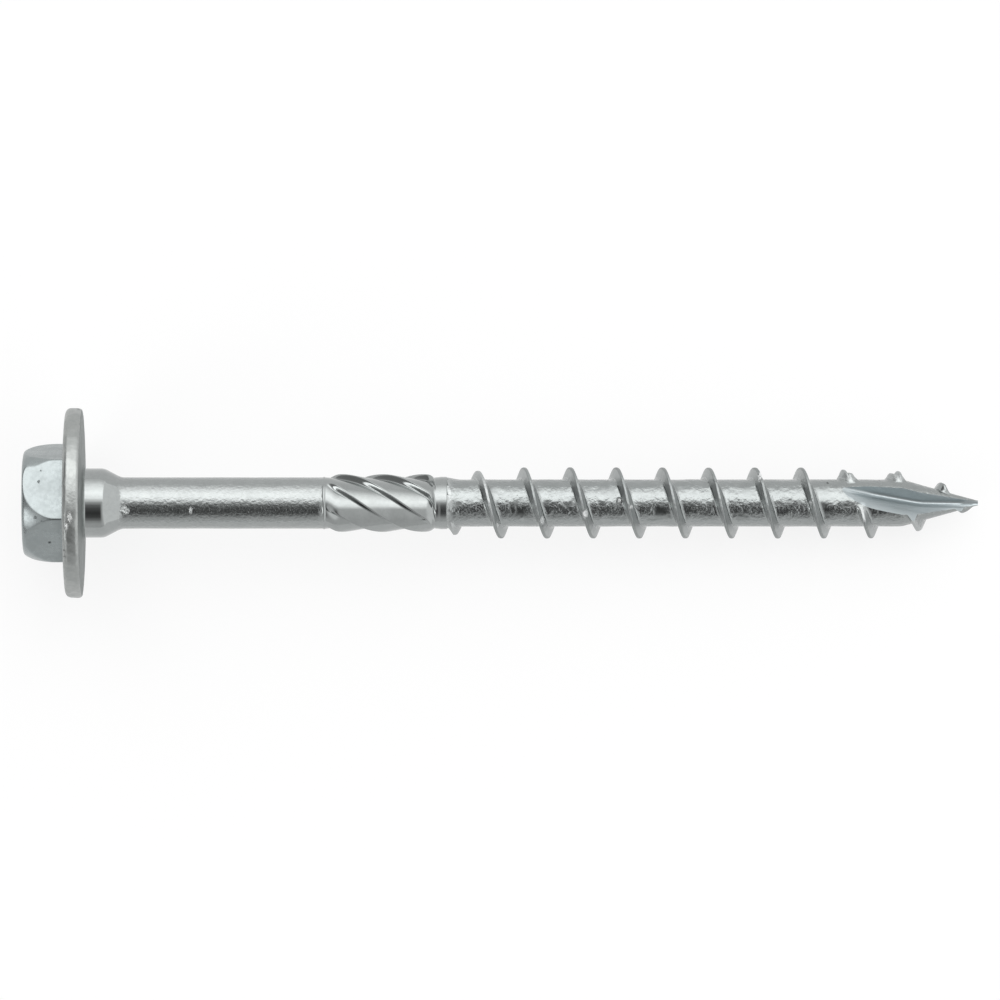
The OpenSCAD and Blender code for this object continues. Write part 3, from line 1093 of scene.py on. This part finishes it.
    def pit_marks(self, nodes: Tree, start: Sockets) -> dict[str, Socket]:
        """Small dark pits: in a few cells of a cell pattern, a spot about the cell's centre.

        Args:
            nodes: Tree of the group.
            start: Its inputs.

        Returns:
            Its results.
        """
        moved = self.wobbled(nodes, start["Point"], scale=5.0, amount=0.3)
        cells = nodes.add("ShaderNodeTexVoronoi", {"Vector": moved, "Scale": 0.75}).outputs
        draw, size, _ = nodes.add("ShaderNodeSeparateColor", {0: cells["Color"]}).outputs
        chosen = nodes.math("LESS_THAN", draw, start["Share"])
        edge = nodes.math("SUBTRACT", nodes.span(size, 0, 1, 0.08, 0.2), cells["Distance"])
        return {"Mask": nodes.math("MULTIPLY", nodes.span(edge, 0.0, 0.06), chosen)}

    def nick_marks(self, nodes: Tree, start: Sockets) -> dict[str, Socket]:
        """Nicks and pits that this one screw has, each at its own place.

        A nick is a spot where the skin is tilted to face up and to one side, as a knock leaves it.
        A pit is a dark hollow. Each reaches further in depth than across, so it meets the skin.

        Args:
            nodes: Tree of the group.
            start: Its inputs.

        Returns:
            Its results.
        """
        moved = self.wobbled(nodes, start["Point"], scale=4.0, amount=MARK_WOBBLE)
        height, dark, light = 0.0, 0.0, 0.0
        for mark in MARKS:
            # The wobble's mean is added, so that the wobble shifts no mark
            centre = mark.centre() + Vector((MARK_WOBBLE / 2,) * 3)
            off = nodes.vector("SUBTRACT", moved, centre)
            flat = nodes.vector("MULTIPLY", off, (DEPTH_SHARE, mark.squeeze, 1.0))
            spot = nodes.span(nodes.vector("LENGTH", flat), mark.size, mark.size * MARK_MIDDLE)
            if mark.is_pit:
                dark = nodes.math("MAXIMUM", dark, nodes.math("MULTIPLY", spot, PIT_SHADE))
                height = nodes.plus(height, spot, -PIT_DEPTH)
                continue
            climb = nodes.vector("DOT_PRODUCT", off, NICK_FACING)
            lift = nodes.math("MULTIPLY", nodes.math("MULTIPLY", climb, -NICK_TILT), spot)
            height = nodes.math("ADD", height, lift)
            light = nodes.math("MAXIMUM", light, nodes.math("MULTIPLY", spot, mark.shine))
        return {"Height": height, "Dark": dark, "Light": light}


@dataclass(frozen=True)
class ZincFinish:
    """One finish of the zinc coating. Lengths are in millimetres."""

    name: str  # Name of the material
    colour: Triple = (0.34, 0.357, 0.354)  # Reflected colour of the clean coating
    dull: Triple = (0.305, 0.321, 0.318)  # Reflected colour of its duller clouds
    rough: Pair = (0.1, 0.17)  # Roughness of the brightest places and of the dullest
    peel: float = 0.01  # Depth of the dimples
    peel_l: float = 0.62  # Their size
    calm: float = 0.5  # Share of the surface that stays smooth, from 0 to 1
    lengthwise: float = 0.0  # Depth of the lines along the axis
    around: float = 0.0  # Depth of the lines around it
    pits: float = 0.0  # Share of the cells that hold a dark pit
    ridge_rough: float = 0.0  # Roughness added on the ridge of the thread, whose sides rolling leaves matt
    ridge_painted_sheen: float = 0.0  # Painted sheen: amount by which the colour of the ridge's sides is lighter than the rest, standing in for brighter reflections
    # Distances from the axis between which the ridge turns matt
    ridge_reach: Pair = (2.72, 2.95)
    # Distances from the axis over which the painted sheen on its sides rises, and fades again
    painted_sheen_reach: tuple[float, float, float, float] = (2.7, 2.9, 3.9, 3.7)
    broad_share: float = 0.55  # Share of the broad clouds in the dullness
    pit_colour: float = 0.3  # Share of the dull colour that is left in a pit
    pit_rough: float = 0.3  # Roughness added in a pit
    pit_depth: float = 0.02  # Depth of a pit

    def material(self, effects: Effects) -> bpy.types.Material:
        """Builds the material.

        Args:
            effects: The shared node groups.

        Returns:
            The material.
        """
        material = bpy.data.materials.new(self.name)
        material.use_nodes = True
        material.diffuse_color = (*self.colour, 1)
        nodes = Tree(material.node_tree)
        place = effects.use(nodes, "place")
        clouds = effects.use(nodes, "clouds", Point=place["Point"])
        pits = effects.use(nodes, "pits", Point=place["Point"], Share=self.pits)["Mask"]
        nicks = effects.use(nodes, "nicks", Point=place["Point"])
        broad = nodes.math("MULTIPLY", clouds["Broad"], self.broad_share)
        dullness = nodes.plus(broad, clouds["Fine"], 1 - self.broad_share)
        pitted = nodes.math("MAXIMUM", pits, nicks["Dark"])
        colour = nodes.mix(dullness, (*self.colour, 1), (*self.dull, 1))
        colour = nodes.mix(pitted, colour, (*(part * self.pit_colour for part in self.dull), 1))
        colour = nodes.mix(nicks["Light"], colour, BARE_STEEL)
        rough = nodes.plus(nodes.span(dullness, 0.0, 1.0, *self.rough), pitted, self.pit_rough)
        if self.ridge_rough:
            radius = place["Radius"]
            matt = nodes.span(radius, *self.ridge_reach, 0.0, self.ridge_rough)
            rough = nodes.math("ADD", rough, matt)
            # Painted sheen: the sides of the ridge get a lighter colour, standing in for the brighter
            # reflections they show
            sides = [nodes.span(radius, *self.painted_sheen_reach[n : n + 2]) for n in (0, 2)]
            light = (*(part + self.ridge_painted_sheen for part in self.colour), 1)
            colour = nodes.mix(nodes.math("MINIMUM", *sides), colour, light)
        height = nodes.plus(self.height(nodes, effects, place), pits, -self.pit_depth)
        height = nodes.math("ADD", height, nicks["Height"])
        bump = nodes.add("ShaderNodeBump", {"Height": height, "Distance": MM, "Strength": 1.0})
        inputs = {"Base Color": colour, "Roughness": rough, "Normal": bump.outputs[0], "Metallic": 1.0}
        nodes.fill(nodes.tree.nodes["Principled BSDF"], inputs)
        return material

    def height(self, nodes: Tree, effects: Effects, place: Sockets) -> Socket:
        """Height of the dimples and die lines.

        Args:
            nodes: The material's tree.
            effects: The shared node groups.
            place: Place on the screw.

        Returns:
            The height.
        """
        peel = effects.use(nodes, "peel", Point=place["Point"], Size=self.peel_l, Calm=self.calm)
        lines = effects.use(nodes, "lines", **{name: place[name] for name in ("Point", "Radius", "Along")})
        total = nodes.math("MULTIPLY", peel["Height"], self.peel)
        for name, depth in (("Lengthwise", self.lengthwise), ("Round", self.around)):
            if depth:
                total = nodes.plus(total, lines[name], depth)
        return total


FINISHES = {
    Zone.FORGED_HEAD: ZincFinish(
        "zinc_forged", (0.312, 0.342, 0.345), (0.282, 0.31, 0.312), (0.24, 0.36), pits=0.02
    ),
    Zone.RIM: ZincFinish(
        "zinc_rim",
        (0.368, 0.382, 0.374),
        (0.315, 0.33, 0.324),
        (0.3, 0.42),
        peel=0.05,
        peel_l=0.8,
        calm=0.3,
        pits=0.06,
    ),
    # Painted shade: the bearing face's colour is darker than the zinc elsewhere, standing in for the dim
    # reflection it shows at a grazing view
    Zone.BEARING: ZincFinish("zinc_bearing_painted_shade", (0.24, 0.26, 0.255), (0.19, 0.205, 0.2), (0.5, 0.62)),
    Zone.COLLAR: ZincFinish("zinc_collar", rough=(0.06, 0.1), peel=0.001, around=0.0003),
    Zone.SHANK: ZincFinish("zinc_shank", peel=0.05, peel_l=0.36, calm=0.28),
    Zone.CUTTER: ZincFinish("zinc_cutter", rough=(0.12, 0.18), peel=0.008, calm=0.6),
}
THREAD_FINISH = ZincFinish(
    "zinc_thread",
    (0.318, 0.336, 0.334),
    (0.285, 0.302, 0.3),
    peel=0.1,
    peel_l=0.5,
    calm=0.4,
    lengthwise=0.002,
    pits=0.02,
    ridge_rough=0.32,
    # The sides of the ridge carry a painted sheen
    ridge_painted_sheen=0.12,
)
NOTCH_FINISH = ZincFinish(
    "zinc_notch",
    (0.435, 0.478, 0.49),
    (0.385, 0.425, 0.437),
    (0.3, 0.4),
    peel=0.004,
    calm=0.4,
    lengthwise=0.004,
)


@dataclass
class Studio:
    """Plain pale floor, soft light all round and the camera."""

    lie: Lie  # Where the screw lies
    floor_half: float = 4.0  # Half the width of the floor, in metres
    floor_colour: Triple = (0.86, 0.86, 0.86)  # Its colour
    paper_share: float = 0.8  # Share of plain white that the floor shows, over its own lit colour
    # Brightness by direction across the screw: degrees from straight up towards +Y, and level
    sky: tuple[Pair, ...] = (
        (-180, 0.3), (-95, 0.3), (-76, 0.29), (-66, 0.22), (-57, 0.11), (-47, 0.045), (-34, 0.03),
        (-21, 0.05), (-9, 0.1), (0, 0.24), (8, 0.52), (18, 0.86), (35, 1.0), (50, 0.88), (62, 0.74),
        (72, 0.57), (82, 0.44), (92, 0.34), (180, 0.3),
    )
    fill: float = 0.86  # Level of the light from everywhere else
    light: float = 2.66  # Brightest level of the light
    head_side: float = 0.35  # Share of that light that is left low down on the side of the head
    # Where that share ends along the screw, from and to, as the X of a direction
    head_reach: Pair = (-0.8, -0.5)
    point_side: float = 1.55  # Share of that light that comes from low down on the side of the point
    point_reach: Pair = (0.36, 0.5)  # Where that share begins, in the same way
    bright_reach: Pair = (0.36, 0.52)  # Where the bright band ends, in the same way
    dark_reach: Pair = (0.08, 0.38)  # Where the dark band ends, in the same way
    spark: Triple = (-0.77, -0.41, 0.49)  # Direction of a small bright patch
    # Cosines of the angles to that direction at which the patch starts and is full
    spark_reach: Pair = (0.965, 0.985)
    distance: float = 1.045  # Distance of the camera from the screw, in metres
    seen_l: float = 0.1116  # Length that the picture takes in at that distance, in metres
    middle_z: float = 46.65  # Height along the screw at which the camera looks, in millimetres
    middle_y: float = 0.335  # Distance to one side of the axis at which it looks, in millimetres
    sensor: float = 36.0  # Width of the camera's sensor, in millimetres

    def build_floor(self) -> None:
        """Lays the floor, nearly white to the camera and in reflections."""
        h = self.floor_half
        points = np.array([[-h, -h, 0], [h, -h, 0], [h, h, 0], [-h, h, 0]])
        floor = mesh_object("floor", points, [np.array([[0, 1, 2, 3]])])
        material = bpy.data.materials.new("floor_paper")
        material.use_nodes = True
        nodes = Tree(material.node_tree)
        shader = nodes.tree.nodes["Principled BSDF"]
        colour = (*self.floor_colour, 1)
        nodes.fill(shader, {"Base Color": colour, "Roughness": 0.9, "Specular IOR Level": 0.1})
        rays = nodes.add("ShaderNodeLightPath").outputs
        seen = nodes.math("MAXIMUM", rays["Is Camera Ray"], rays["Is Glossy Ray"])
        seen = nodes.math("MAXIMUM", seen, rays["Is Transmission Ray"])
        white = nodes.add("ShaderNodeEmission", {"Color": (1, 1, 1, 1), "Strength": 1.0}).outputs[0]
        share = nodes.math("MULTIPLY", seen, self.paper_share)
        mix = nodes.add("ShaderNodeMixShader", {0: share, 1: shader.outputs[0], 2: white})
        nodes.fill(nodes.tree.nodes["Material Output"], {"Surface": mix.outputs[0]})
        floor.data.materials.append(material)

    def build_sky(self) -> None:
        """Soft light by direction: a broad bright band on one side and a dark one on the other."""
        world = bpy.data.worlds.new("studio_light")
        bpy.context.scene.world = world
        world.use_nodes = True
        nodes = Tree(world.node_tree)
        direction = nodes.add("ShaderNodeTexCoord").outputs["Generated"]
        x, y, z = nodes.add("ShaderNodeSeparateXYZ", {0: direction}).outputs
        turn = nodes.math("MULTIPLY_ADD", nodes.math("ARCTAN2", y, z), 0.5 / math.pi)
        turn.node.inputs[2].default_value = 0.5
        ramp = nodes.add("ShaderNodeValToRGB", {"Fac": turn})
        ramp.color_ramp.interpolation = "EASE"
        stops = ramp.color_ramp.elements
        for number, (degrees, level) in enumerate(self.sky):
            place = degrees / 360 + 0.5
            stop = stops[number] if number < 2 else stops.new(place)
            stop.position = place
            stop.color = (level, level, level, 1)
        fill = self.fill / self.light
        above = nodes.math("SUBTRACT", ramp.outputs["Color"], fill)
        along = nodes.math("ABSOLUTE", x)
        bands = []
        for side, reach in (("MAXIMUM", self.bright_reach), ("MINIMUM", self.dark_reach)):
            ends = nodes.span(along, *reach, 1.0, 0.0)
            bands.append(nodes.math("MULTIPLY", nodes.math(side, above, 0.0), ends))
        level = nodes.math("ADD", nodes.math("ADD", *bands), fill)
        level = nodes.math("MULTIPLY", level, nodes.span(x, *self.head_reach, self.head_side, 1.0))
        level = nodes.math("MULTIPLY", level, nodes.span(x, *self.point_reach, 1.0, self.point_side))
        near = nodes.vector("DOT_PRODUCT", direction, Vector(self.spark).normalized())
        level = nodes.math("ADD", level, nodes.span(near, *self.spark_reach))
        nodes.fill(nodes.tree.nodes["Background"], {"Color": level, "Strength": self.light})

    def build_camera(self) -> None:
        """Looks straight at the screw's side, from above."""
        data = bpy.data.cameras.new("camera")
        data.sensor_width = self.sensor
        data.lens = self.sensor * self.distance / self.seen_l
        data.clip_start = 0.01
        data.clip_end = 50
        camera = bpy.data.objects.new("camera", data)
        bpy.context.scene.collection.objects.link(camera)
        back = -self.lie.turn.col[0]
        look_at = self.lie.point(0, self.middle_y, self.middle_z)
        turn = Matrix((self.lie.turn.col[2], self.lie.turn.col[1], back)).transposed()
        camera.matrix_world = Matrix.Translation(look_at + back * self.distance) @ turn.to_4x4()
        bpy.context.scene.camera = camera

    def build(self) -> None:
        """Builds the floor, the light and the camera."""
        self.build_floor()
        self.build_sky()
        self.build_camera()
        bpy.context.scene.view_settings.view_transform = "Standard"


def hand_over(piece: bpy.types.Object) -> None:
    """Puts a piece on the screw's body, in place of its solid, and logs it."""
    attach(piece, BODY)
    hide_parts(NODE)
    log.info("%s: %d points, %d faces", piece.name, len(piece.data.vertices), len(piece.data.polygons))


def main() -> None:
    """Builds the screw and the studio."""
    logging.basicConfig(level=logging.INFO, format="%(message)s")
    lie = Lie.from_record(frame["record"])
    effects = Effects(lie)
    head = HeadAndShank(lie).build()
    for zone in Zone:
        head.data.materials.append(FINISHES[zone].material(effects))
    hand_over(head)
    cut_finishes = [THREAD_FINISH.material(effects), NOTCH_FINISH.material(effects)]
    hand_over(ThreadAndPoint(lie).build(cut_finishes))
    Studio(lie).build()


if __name__ == "__main__":
    main()
